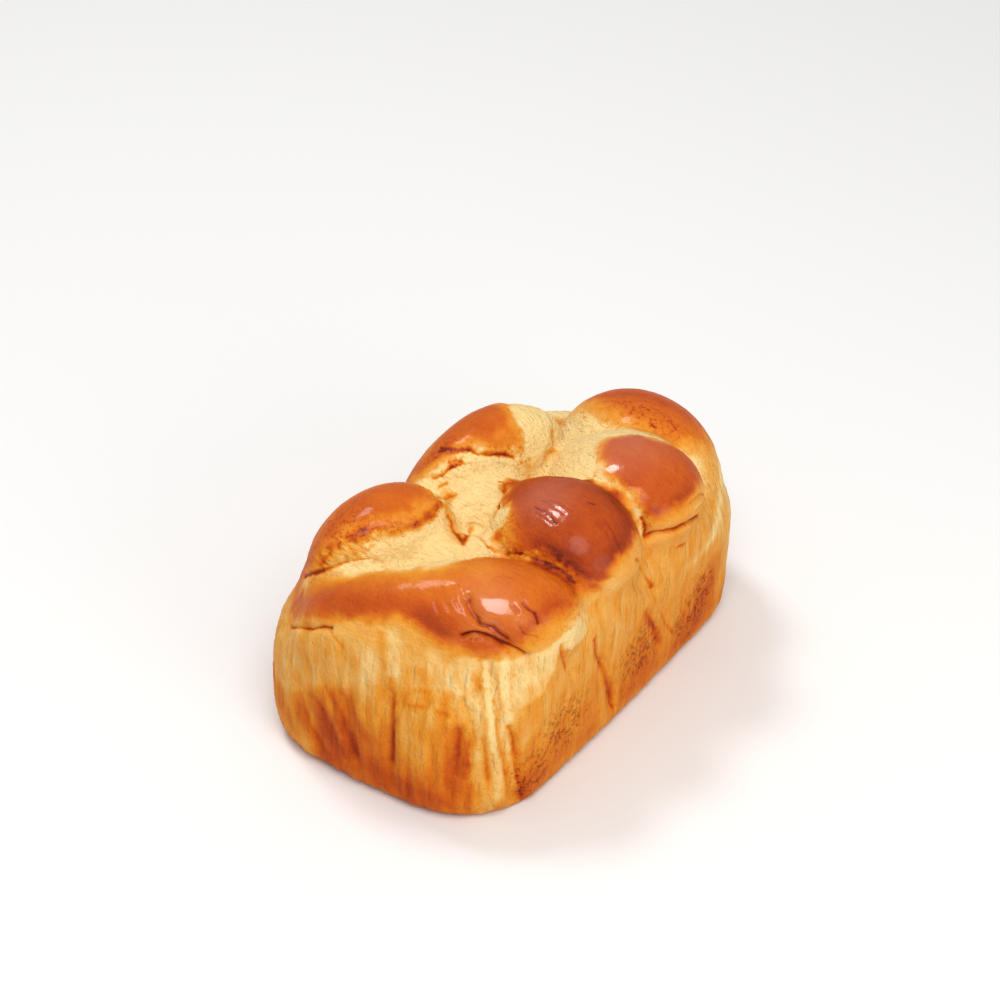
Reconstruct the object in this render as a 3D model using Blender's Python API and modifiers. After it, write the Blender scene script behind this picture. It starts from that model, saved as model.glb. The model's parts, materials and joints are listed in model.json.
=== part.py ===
"""Plaited brioche loaf, baked in a tin: one solid that stands on z = 0, near end at -Y."""

import math

import bmesh
import bpy
from mathutils import Vector
from mathutils.geometry import intersect_point_line

MM = 0.001

# The tin-shaped body, in millimetres: half sizes of its widest level, the radius of its
# upright corners, the heights of that level and of its top, and how rounded it is above and below.
HALF_WIDTH = 54.5
HALF_LENGTH = 87.0
CORNER_RADIUS = 36.0
WIDEST_AT = 16.0
BODY_TOP = 60.0
ROUNDNESS_ABOVE = 0.37
ROUNDNESS_BELOW = 0.28
BELOW_BASE = 3.0
# The shape is made this much too deep, and cut flat at z = 0 in the end.
CUT_DEPTH = 1.4
TOP_SHIFT = (6.8, 0.0)
# How far the direction turns, as a share of a radian, while the outline runs along a flat side.
FLAT_SIDE_TURN = 0.22

# The plait, in millimetres: each visible strand is a bent sausage given by its start, bend and end,
# half its width and half its height. Each one dips under the next on its way to the other side.
# The flanks are where a strand was pressed against the tin, and the seams are the pale dough
# that rose between the strands.
STRANDS = {
    "near_cross": ((-30, -79, 46), (6, -69, 70.5), (54, -31, 60), 20, 21.5),
    "near_belly": ((-30, -74, 42), (8, -72, 60), (48, -52, 46), 16, 20),
    "left_first": ((-25, -65, 43), (-25, -39, 81), (-8, -26, 55), 19, 24),
    "left_first_flank": ((-27, -64, 36), (-30, -44, 62), (-28, -20, 36), 19, 25),
    "near_seam": ((-10, -46, 60), (4, -36, 72), (20, -24, 60), 12, 13),
    "middle_seam": ((-14, -22, 62), (0, -6, 74), (8, 8, 62), 14, 13),
    "right_second": ((50, -15, 59), (34, -7, 84), (2, -3, 50), 23.5, 22.5),
    "right_second_flank": ((42, -38, 38), (45, -12, 68), (42, 12, 38), 14, 20),
    "left_second": ((-22, -25, 41), (-17, 15, 82), (-7, 34, 57), 18, 25),
    "left_second_flank": ((-27, -14, 36), (-27, 16, 55), (-26, 42, 36), 20, 25),
    "right_third": ((50, 21, 58), (37, 29, 85), (0, 33, 47), 25, 21),
    "right_third_flank": ((42, 6, 36), (45, 34, 64), (42, 60, 36), 14, 18),
    "left_third": ((-46, 34, 35), (-33, 53, 45), (-8, 60, 33), 17, 16.5),
    "far_cross": ((43, 50, 40), (25, 62, 80), (-13, 57, 46), 22, 21),
}

# Folds and splits of the crust, in millimetres: a route on the surface, half width and depth.
# A negative depth is a rib that stands out.
FOLDS = {
    "near_right_corner": (((48, -70, 43), (50, -68, 33), (51, -66, 19), (51, -64, 4)), 2.6, 2.0),
    "near_right_rib": (((41, -72, 54), (46, -73, 37), (48, -71, 9)), 3.5, -1.0),
    "near_middle": (((12, -83, 48), (14, -87, 24), (14, -87, 8)), 2.4, 1.3),
    "near_left": (((-22, -86, 32), (-16, -87, 10)), 2.6, 1.0),
    "near_left_inner": (((-6, -85, 38), (-3, -87, 26), (0, -87, 12)), 2.6, 1.0),
    "near_right_low": (((37, -80, 40), (37, -82, 14)), 2.6, 1.0),
    "near_split": (((-25, -84, 59), (-11, -85, 66)), 1.8, 1.2),
    "crown_tuck_low": (((32, -70, 73), (38, -65, 73), (43, -63, 70), (50, -58, 64)), 2.0, 1.8),
    "crown_tuck_high": (((29, -62, 82), (34, -64, 78), (39, -62, 75), (44, -61, 71)), 2.0, 1.3),
    "right_split": (((50, 9, 79), (52, 10, 70), (57, 16, 70), (60, 25, 70), (58, 36, 66)), 2.2, 2.2),
    "right_upper": (((57, -2, 62), (55, 11, 47)), 2.2, 1.5),
    "right_middle": (((54, -22, 50), (55, -20, 30), (54, -12, 12)), 2.6, 1.4),
    "right_far": (((55, 8, 40), (55, 15, 20)), 2.6, 1.2),
    "right_near": (((54, -46, 62), (53, -38, 46)), 2.4, 1.3),
    "left_near": (((-50, -44, 52), (-54, -38, 14)), 2.6, 1.4),
    "left_middle": (((-50, -2, 56), (-54, 4, 20)), 2.6, 1.2),
    "left_far": (((-51, 34, 50), (-54, 30, 10)), 2.6, 1.4),
    "left_split": (((-44, -22, 64), (-47, -4, 66), (-46, 12, 63)), 2.2, 2.0),
    "far_middle": (((10, 84, 52), (6, 87, 12)), 2.6, 1.3),
    "far_left": (((-28, 82, 46), (-24, 86, 16)), 2.6, 1.2),
    "far_left_dip": (((-34, 64, 56), (-12, 72, 58)), 14.0, 4.5),
    "far_split": (((-12, 80, 62), (8, 84, 64), (26, 81, 61)), 2.0, 1.8),
}

SPHERE_TURNS = 96
SPHERE_RINGS = 48
STRAND_FULLNESS = 2.6
# How much thicker a strand is at its end, and thinner at its start, than in its middle.
THICKER_AT_END = {"near_cross": 0.24}
VOXEL = 1.6 * MM
CREASE_SMOOTHING = 3
SIDE_SMOOTHING = 80
SIDES_END_AT = (64.0, 74.0)
KEPT_TRIANGLES = 10500
FLAT_BELOW = 0.3 * MM

CRUST = {"colour": (0.62, 0.27, 0.07, 1.0), "roughness": 0.45}


def clear_scene():
    for thing in list(bpy.data.objects):
        bpy.data.objects.remove(thing)


def signed_power(value, power):
    return math.copysign(abs(value) ** power, value)


def clamp(value, low, high):
    return max(low, min(high, value))


def body_point(unit):
    """Where a point of the unit sphere goes on the tin-shaped body, in metres."""
    turn = Vector((unit.x, unit.y, 0.0))
    turn = turn.normalized() if turn.length > 1e-9 else Vector((1.0, 0.0, 0.0))
    rise = math.asin(clamp(unit.z, -1.0, 1.0))
    roundness = ROUNDNESS_ABOVE if rise > 0 else ROUNDNESS_BELOW
    reach = max(0.0, math.cos(rise)) ** roundness
    height = signed_power(math.sin(rise), roundness)
    side = (HALF_WIDTH - CORNER_RADIUS) * clamp(turn.x / FLAT_SIDE_TURN, -1, 1)
    end = (HALF_LENGTH - CORNER_RADIUS) * clamp(turn.y / FLAT_SIDE_TURN, -1, 1)
    shift = max(0.0, height) ** 2
    x = reach * (side + CORNER_RADIUS * turn.x) + shift * TOP_SHIFT[0]
    y = reach * (end + CORNER_RADIUS * turn.y) + shift * TOP_SHIFT[1]
    z = WIDEST_AT + height * (BODY_TOP - WIDEST_AT if height > 0 else WIDEST_AT + BELOW_BASE)
    return Vector((x, y, max(-CUT_DEPTH, z))) * MM


def strand_point(unit, start, bend, end, half_width, half_height, growth):
    """Where a point of the unit sphere goes on a bent sausage along start, bend and end."""
    along = (unit.z + 1.0) / 2.0
    centre = start * (1 - along) ** 2 + bend * 2 * along * (1 - along) + end * along**2
    run = (bend - start) * (1 - along) + (end - bend) * along
    across = Vector((-run.y, run.x, 0.0)).normalized()
    upward = run.cross(across).normalized()
    if upward.z < 0:
        upward = -upward
    ring = math.hypot(unit.x, unit.y)
    if ring < 1e-9:
        return centre
    thick = max(0.0, 1.0 - abs(unit.z) ** STRAND_FULLNESS) ** (1.0 / STRAND_FULLNESS)
    thick *= 1.0 + growth * unit.z
    return (
        centre
        + across * (unit.x / ring * thick * half_width)
        + upward * (unit.y / ring * thick * half_height)
    )


def ball(name, place):
    """A unit sphere whose points are moved by the function place."""
    shape = bmesh.new()
    bmesh.ops.create_uvsphere(shape, u_segments=SPHERE_TURNS, v_segments=SPHERE_RINGS, radius=1.0)
    for vertex in shape.verts:
        vertex.co = place(vertex.co.copy())
    bmesh.ops.recalc_face_normals(shape, faces=shape.faces)
    mesh = bpy.data.meshes.new(name)
    shape.to_mesh(mesh)
    shape.free()
    return bpy.data.objects.new(name, mesh)


def strand(name, start, bend, end, half_width, half_height):
    sizes = [Vector(point) * MM for point in (start, bend, end)]
    sizes += [half_width * MM, half_height * MM, THICKER_AT_END.get(name, 0.0)]
    return ball(name, lambda unit: strand_point(unit, *sizes))


def apply_modifiers(thing):
    graph = bpy.context.evaluated_depsgraph_get()
    thing.data = bpy.data.meshes.new_from_object(thing.evaluated_get(graph))
    thing.modifiers.clear()


def join_strands(loaf, strands):
    """One skin over the body and all strands."""
    joined = loaf.modifiers.new("joined strands", "BOOLEAN")
    joined.operation = "UNION"
    joined.operand_type = "COLLECTION"
    joined.collection = strands
    joined.solver = "MANIFOLD"
    skin = loaf.modifiers.new("one skin", "REMESH")
    skin.mode = "VOXEL"
    skin.voxel_size = VOXEL
    apply_modifiers(loaf)
    for thing in list(strands.objects):
        bpy.data.objects.remove(thing)
    bpy.data.collections.remove(strands)


def soften(loaf):
    """Creases stay crisp on top, and the strands run smoothly into the sides."""
    sides = loaf.vertex_groups.new(name="sides")
    low, high = SIDES_END_AT
    for vertex in loaf.data.vertices:
        share = clamp((high - vertex.co.z / MM) / (high - low), 0.0, 1.0)
        sides.add([vertex.index], share, "REPLACE")
    all_over = loaf.modifiers.new("soft creases", "SMOOTH")
    all_over.iterations = CREASE_SMOOTHING
    flanks = loaf.modifiers.new("soft sides", "SMOOTH")
    flanks.iterations = SIDE_SMOOTHING
    flanks.vertex_group = "sides"
    apply_modifiers(loaf)
    loaf.vertex_groups.clear()


def fold_depth(point, route, half_width, depth):
    """How far a fold pulls a point of the surface in. All values are in millimetres."""
    nearest = math.inf
    for start, end in zip(route, route[1:]):
        start, end = Vector(start), Vector(end)
        foot, share = intersect_point_line(point, start, end)
        foot = start.lerp(end, clamp(share, 0.0, 1.0))
        nearest = min(nearest, (point - foot).length)
    return depth * math.exp(-((nearest / half_width) ** 2))


def press_folds(mesh):
    normals = [vertex.normal.copy() for vertex in mesh.vertices]
    for vertex, normal in zip(mesh.vertices, normals):
        point = vertex.co / MM
        inward = sum(fold_depth(point, *fold) for fold in FOLDS.values())
        vertex.co -= normal * inward * MM


def cut_flat_base(mesh):
    """Cuts off what is below z = 0, where the loaf stands."""
    shape = bmesh.new()
    shape.from_mesh(mesh)
    everything = shape.verts[:] + shape.edges[:] + shape.faces[:]
    cut = bmesh.ops.bisect_plane(
        shape,
        geom=everything,
        dist=0.01 * MM,
        plane_co=(0.0, 0.0, 0.0),
        plane_no=(0.0, 0.0, 1.0),
        clear_inner=True,
    )
    rim = [piece for piece in cut["geom_cut"] if isinstance(piece, bmesh.types.BMEdge)]
    bmesh.ops.edgeloop_fill(shape, edges=rim)
    bmesh.ops.recalc_face_normals(shape, faces=shape.faces)
    shape.to_mesh(mesh)
    shape.free()


def flatten_base(mesh):
    for vertex in mesh.vertices:
        if vertex.co.z < FLAT_BELOW:
            vertex.co.z = 0.0


def crust_material():
    crust = bpy.data.materials.new("crust")
    crust.use_nodes = True
    shader = crust.node_tree.nodes["Principled BSDF"]
    shader.inputs["Base Color"].default_value = CRUST["colour"]
    shader.inputs["Roughness"].default_value = CRUST["roughness"]
    return crust


def build():
    clear_scene()
    loaf_collection = bpy.data.collections.new("brioche_loaf")
    bpy.context.scene.collection.children.link(loaf_collection)
    strands = bpy.data.collections.new("strands")
    bpy.context.scene.collection.children.link(strands)
    loaf = ball("brioche", body_point)
    loaf_collection.objects.link(loaf)
    for name, sizes in STRANDS.items():
        strands.objects.link(strand(name, *sizes))
    join_strands(loaf, strands)
    soften(loaf)
    press_folds(loaf.data)
    cut_flat_base(loaf.data)
    fewer = loaf.modifiers.new("fewer faces", "DECIMATE")
    fewer.ratio = KEPT_TRIANGLES / sum(len(face.vertices) - 2 for face in loaf.data.polygons)
    apply_modifiers(loaf)
    flatten_base(loaf.data)
    loaf.data.shade_smooth()
    loaf.data.materials.clear()
    loaf.data.materials.append(crust_material())


build()
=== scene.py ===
# %% [markdown]
# # A plaited brioche loaf
# The loaf was plaited from soft strands, laid in a tin, brushed with egg and baked.
# The tin formed the straight sides and the flat underside. Above the tin the strands rose
# freely, so their crowns browned and shine, and the dough between them tore open late and
# stayed pale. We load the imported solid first, because it fixes the size and the place.

# %% Load the frame
import json
import math
import time

import bmesh
import bpy
import numpy as np
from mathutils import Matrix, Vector, noise
from mathutils.bvhtree import BVHTree

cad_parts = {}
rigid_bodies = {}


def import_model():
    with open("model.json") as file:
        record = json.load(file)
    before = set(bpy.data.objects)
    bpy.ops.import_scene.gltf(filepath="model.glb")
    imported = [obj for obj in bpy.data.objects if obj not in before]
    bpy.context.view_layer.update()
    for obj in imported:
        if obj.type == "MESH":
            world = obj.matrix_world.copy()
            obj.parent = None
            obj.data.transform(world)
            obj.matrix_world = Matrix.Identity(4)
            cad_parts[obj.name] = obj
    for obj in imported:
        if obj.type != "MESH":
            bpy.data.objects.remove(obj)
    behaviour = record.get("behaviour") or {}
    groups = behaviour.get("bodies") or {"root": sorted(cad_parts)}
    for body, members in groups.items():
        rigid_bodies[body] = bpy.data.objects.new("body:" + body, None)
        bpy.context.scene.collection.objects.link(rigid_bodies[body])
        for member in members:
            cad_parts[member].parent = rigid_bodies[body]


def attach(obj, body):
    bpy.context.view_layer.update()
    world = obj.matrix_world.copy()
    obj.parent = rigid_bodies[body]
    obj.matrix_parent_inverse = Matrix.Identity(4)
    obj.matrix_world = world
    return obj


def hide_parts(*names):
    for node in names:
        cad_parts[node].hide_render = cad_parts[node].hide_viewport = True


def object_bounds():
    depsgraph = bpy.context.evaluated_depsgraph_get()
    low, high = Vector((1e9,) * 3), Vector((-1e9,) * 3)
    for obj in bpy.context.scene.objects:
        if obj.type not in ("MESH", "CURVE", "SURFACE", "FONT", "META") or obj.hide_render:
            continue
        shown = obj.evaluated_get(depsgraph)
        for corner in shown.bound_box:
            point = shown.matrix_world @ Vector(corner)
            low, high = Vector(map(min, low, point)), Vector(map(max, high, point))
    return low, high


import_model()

MM = 0.001
started = time.time()
cad_low, cad_high = [np.array(corner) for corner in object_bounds()]
print("solid box in mm:", np.round((cad_high - cad_low) / MM, 1))

# %% [markdown]
# ## The dough before the crust
# One body stands for the part that the tin formed, and one bent sausage stands for each
# strand that shows on top. Both start as a sphere whose points are moved, because a sphere is
# closed and has even faces. Modelling each strand separately keeps the creases between them
# where they belong, and a few named numbers are enough to place them.

# %% Sizes of the body, in millimetres
HALF_WIDTH = 54.5
HALF_LENGTH = 87.0
CORNER_RADIUS = 36.0  # of the upright corners
WIDEST_AT = 16.0  # height of the widest place
BODY_TOP = 60.0
ROUNDNESS_ABOVE = 0.37  # the smaller, the more the body is like a box
ROUNDNESS_BELOW = 0.28
BELOW_BASE = 3.0  # how far the ball reaches under the base, where it is cut off
CUT_DEPTH = 1.4  # the ball's own flat underside lies this far below the base
TOP_SHIFT = (6.8, 0.0)  # how far the top leans along X and Y
FLAT_SIDE_TURN = 0.22  # the share of a turn that a flat side takes
print("body in mm:", 2 * HALF_WIDTH, "wide,", 2 * HALF_LENGTH, "long,", BODY_TOP, "high")

# %% Strands, in millimetres: start, bend, end, half width and half height
STRANDS = {
    "near_cross": ((-30, -79, 46), (6, -69, 70.5), (54, -31, 60), 20, 21.5),
    "near_belly": ((-30, -74, 42), (8, -72, 60), (48, -52, 46), 16, 20),
    "left_first": ((-25, -65, 43), (-25, -39, 81), (-8, -26, 55), 19, 24),
    "left_first_flank": ((-27, -64, 36), (-30, -44, 62), (-28, -20, 36), 19, 25),
    "near_seam": ((-10, -46, 60), (4, -36, 72), (20, -24, 60), 12, 13),
    "middle_seam": ((-14, -22, 62), (0, -6, 74), (8, 8, 62), 14, 13),
    "right_second": ((50, -15, 59), (34, -7, 84), (2, -3, 50), 23.5, 22.5),
    "right_second_flank": ((42, -38, 38), (45, -12, 68), (42, 12, 38), 14, 20),
    "left_second": ((-22, -25, 41), (-17, 15, 82), (-7, 34, 57), 18, 25),
    "left_second_flank": ((-27, -14, 36), (-27, 16, 55), (-26, 42, 36), 20, 25),
    "right_third": ((50, 21, 58), (37, 29, 85), (0, 33, 47), 25, 21),
    "right_third_flank": ((42, 6, 36), (45, 34, 64), (42, 60, 36), 14, 18),
    "left_third": ((-46, 34, 35), (-33, 53, 45), (-8, 60, 33), 17, 16.5),
    "far_cross": ((43, 50, 40), (25, 62, 80), (-13, 57, 46), 22, 21),
}
STRAND_FULLNESS = 2.6  # 2 gives pointed ends like an egg's, more gives blunter ones
# How much thicker a strand is at its end, and thinner at its start, than in its middle.
THICKER_AT_END = {"near_cross": 0.24}
SPHERE_TURNS = 160
SPHERE_RINGS = 80
print("strands:", len(STRANDS))


# %% Shape the body and the strands
def clamp(value, low, high):
    return max(low, min(high, value))


def body_point(unit):
    """Where a point of the unit sphere goes on the tin-shaped body, in metres."""
    turn = Vector((unit.x, unit.y, 0.0))
    turn = turn.normalized() if turn.length > 1e-9 else Vector((1.0, 0.0, 0.0))
    rise = math.asin(clamp(unit.z, -1.0, 1.0))
    roundness = ROUNDNESS_ABOVE if rise > 0 else ROUNDNESS_BELOW
    reach = max(0.0, math.cos(rise)) ** roundness
    height = math.copysign(abs(math.sin(rise)) ** roundness, rise)
    side = (HALF_WIDTH - CORNER_RADIUS) * clamp(turn.x / FLAT_SIDE_TURN, -1, 1)
    end = (HALF_LENGTH - CORNER_RADIUS) * clamp(turn.y / FLAT_SIDE_TURN, -1, 1)
    shift = max(0.0, height) ** 2
    x = reach * (side + CORNER_RADIUS * turn.x) + shift * TOP_SHIFT[0]
    y = reach * (end + CORNER_RADIUS * turn.y) + shift * TOP_SHIFT[1]
    z = WIDEST_AT + height * (BODY_TOP - WIDEST_AT if height > 0 else WIDEST_AT + BELOW_BASE)
    return Vector((x, y, max(-CUT_DEPTH, z))) * MM


def strand_point(unit, start, bend, end, half_width, half_height, growth):
    """Where a point of the unit sphere goes on a bent sausage along start, bend and end."""
    along = (unit.z + 1.0) / 2.0
    centre = start * (1 - along) ** 2 + bend * 2 * along * (1 - along) + end * along**2
    run = (bend - start) * (1 - along) + (end - bend) * along
    across = Vector((-run.y, run.x, 0.0)).normalized()
    upward = run.cross(across).normalized()
    if upward.z < 0:
        upward = -upward
    ring = math.hypot(unit.x, unit.y)
    if ring < 1e-9:
        return centre
    thick = max(0.0, 1.0 - abs(unit.z) ** STRAND_FULLNESS) ** (1.0 / STRAND_FULLNESS)
    thick *= 1.0 + growth * unit.z
    wide, high = unit.x / ring * half_width, unit.y / ring * half_height
    return centre + (across * wide + upward * high) * thick


def ball(name, place):
    """A unit sphere whose points are moved by the function place."""
    shape = bmesh.new()
    bmesh.ops.create_uvsphere(shape, u_segments=SPHERE_TURNS, v_segments=SPHERE_RINGS, radius=1.0)
    for vertex in shape.verts:
        vertex.co = place(vertex.co.copy())
    bmesh.ops.recalc_face_normals(shape, faces=shape.faces)
    mesh = bpy.data.meshes.new(name)
    shape.to_mesh(mesh)
    shape.free()
    return bpy.data.objects.new(name, mesh)


def strand(name, start, bend, end, half_width, half_height):
    sizes = [Vector(point) * MM for point in (start, bend, end)]
    sizes += [half_width * MM, half_height * MM, THICKER_AT_END.get(name, 0.0)]
    return ball(name, lambda unit: strand_point(unit, *sizes))


loaf = ball("brioche_crust", body_point)
bpy.context.scene.collection.objects.link(loaf)
strands = bpy.data.collections.new("strands")
bpy.context.scene.collection.children.link(strands)
for name, sizes in STRANDS.items():
    strands.objects.link(strand(name, *sizes))

# %% [markdown]
# ## One skin
# In the oven the strands grow into one another, so the loaf is one piece. A Boolean union
# joins them, a voxel remesh lays an even net over the result, and two Smooth modifiers soften
# it: a little everywhere, and much more on the sides, where the tin pressed the strands flat.

# %% Join the strands and soften the creases
VOXEL = 1.06
CREASE_SMOOTHING = 7
SIDE_SMOOTHING = 182
SIDES_END_AT = (64.0, 74.0)


def apply_modifiers(thing):
    graph = bpy.context.evaluated_depsgraph_get()
    thing.data = bpy.data.meshes.new_from_object(thing.evaluated_get(graph))
    thing.modifiers.clear()


joined = loaf.modifiers.new("joined strands", "BOOLEAN")
joined.operation = "UNION"
joined.operand_type = "COLLECTION"
joined.collection = strands
joined.solver = "MANIFOLD"
skin = loaf.modifiers.new("one skin", "REMESH")
skin.mode = "VOXEL"
skin.voxel_size = VOXEL * MM
apply_modifiers(loaf)
for thing in list(strands.objects):
    bpy.data.objects.remove(thing)
bpy.data.collections.remove(strands)

sides = loaf.vertex_groups.new(name="sides")
side_low, side_high = SIDES_END_AT
for vertex in loaf.data.vertices:
    share = clamp((side_high - vertex.co.z / MM) / (side_high - side_low), 0.0, 1.0)
    sides.add([vertex.index], share, "REPLACE")
loaf.modifiers.new("soft creases", "SMOOTH").iterations = CREASE_SMOOTHING
flanks = loaf.modifiers.new("soft sides", "SMOOTH")
flanks.iterations = SIDE_SMOOTHING
flanks.vertex_group = "sides"
apply_modifiers(loaf)
loaf.vertex_groups.clear()
print("skin:", len(loaf.data.vertices), "points", round(time.time() - started, 1), "s")

# %% [markdown]
# ## Marks in the crust
# A crust has folds, tucks and fine cracks. Each one is a route of points on the surface with a
# half width, a depth and a darkness. The darkness is painted shade inside the groove or crack.
# A negative depth is a rib that stands out. The broad ones are in the solid too, and the fine
# ones are made here.

# %% Broad folds, in millimetres: a route, half width and depth
FOLDS = {
    "near_right_corner": (((48, -70, 43), (50, -68, 33), (51, -66, 19), (51, -64, 4)), 2.6, 2.0),
    "near_right_rib": (((41, -72, 54), (46, -73, 37), (48, -71, 9)), 3.5, -1.0),
    "near_middle": (((12, -83, 48), (14, -87, 24), (14, -87, 8)), 2.4, 1.3),
    "near_left": (((-22, -86, 32), (-16, -87, 10)), 2.6, 1.0),
    "near_left_inner": (((-6, -85, 38), (-3, -87, 26), (0, -87, 12)), 2.6, 1.0),
    "near_right_low": (((37, -80, 40), (37, -82, 14)), 2.6, 1.0),
    "near_split": (((-25, -84, 59), (-11, -85, 66)), 1.8, 1.2),
    "crown_tuck_low": (((32, -70, 73), (38, -65, 73), (43, -63, 70), (50, -58, 64)), 2.0, 1.8),
    "crown_tuck_high": (((29, -62, 82), (34, -64, 78), (39, -62, 75), (44, -61, 71)), 2.0, 1.3),
    "right_split": (((50, 9, 79), (52, 10, 70), (57, 16, 70), (60, 25, 70),
        (58, 36, 66)), 2.2, 2.2),
    "right_upper": (((57, -2, 62), (55, 11, 47)), 2.2, 1.5),
    "right_middle": (((54, -22, 50), (55, -20, 30), (54, -12, 12)), 2.6, 1.4),
    "right_far": (((55, 8, 40), (55, 15, 20)), 2.6, 1.2),
    "right_near": (((54, -46, 62), (53, -38, 46)), 2.4, 1.3),
    "left_near": (((-50, -44, 52), (-54, -38, 14)), 2.6, 1.4),
    "left_middle": (((-50, -2, 56), (-54, 4, 20)), 2.6, 1.2),
    "left_far": (((-51, 34, 50), (-54, 30, 10)), 2.6, 1.4),
    "left_split": (((-44, -22, 64), (-47, -4, 66), (-46, 12, 63)), 2.2, 2.0),
    "far_middle": (((10, 84, 52), (6, 87, 12)), 2.6, 1.3),
    "far_left": (((-28, 82, 46), (-24, 86, 16)), 2.6, 1.2),
    "far_left_dip": (((-34, 64, 56), (-12, 72, 58)), 14.0, 6.0),
    "far_split": (((-12, 80, 62), (8, 84, 64), (26, 81, 61)), 2.0, 1.8),
}
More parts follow.
